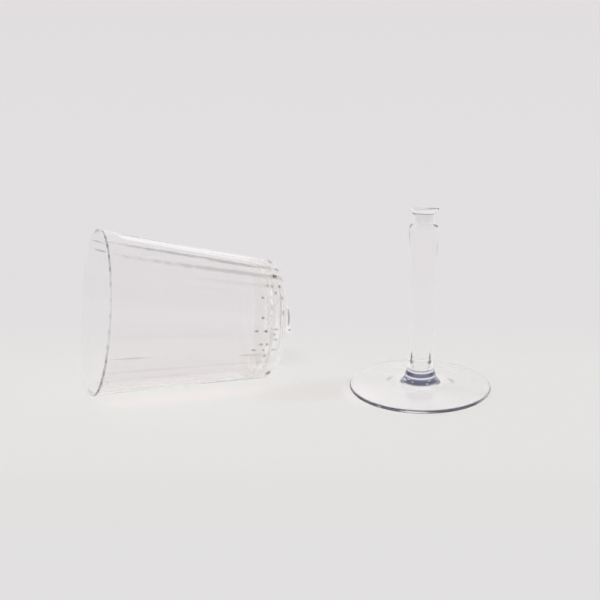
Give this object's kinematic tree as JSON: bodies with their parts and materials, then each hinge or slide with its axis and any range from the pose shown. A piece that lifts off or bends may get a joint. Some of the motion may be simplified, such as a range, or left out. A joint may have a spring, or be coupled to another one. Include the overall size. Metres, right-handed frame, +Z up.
{
  "type": "broken wine glass",
  "caption": "Clear ribbed wine glass snapped through its stem: the bowl lies on its side beside the foot and stem, which still stand.",
  "frame": {"origin": "on the surface that the pieces rest on, under the middle of the box round both pieces", "axes": "+X from the mouth of the fallen bowl towards its base, +Z up, +Y away from the standing foot, across the bowl"},
  "size_m": [0.1934, 0.114, 0.0922],
  "materials": {
    "clear_glass": "fire-polished clear glass with bright, rippled fracture faces where the stem broke"
  },
  "bodies": {
    "root": {"bowl": "clear_glass", "stem_and_foot": "clear_glass"}
  },
  "joints": []
}
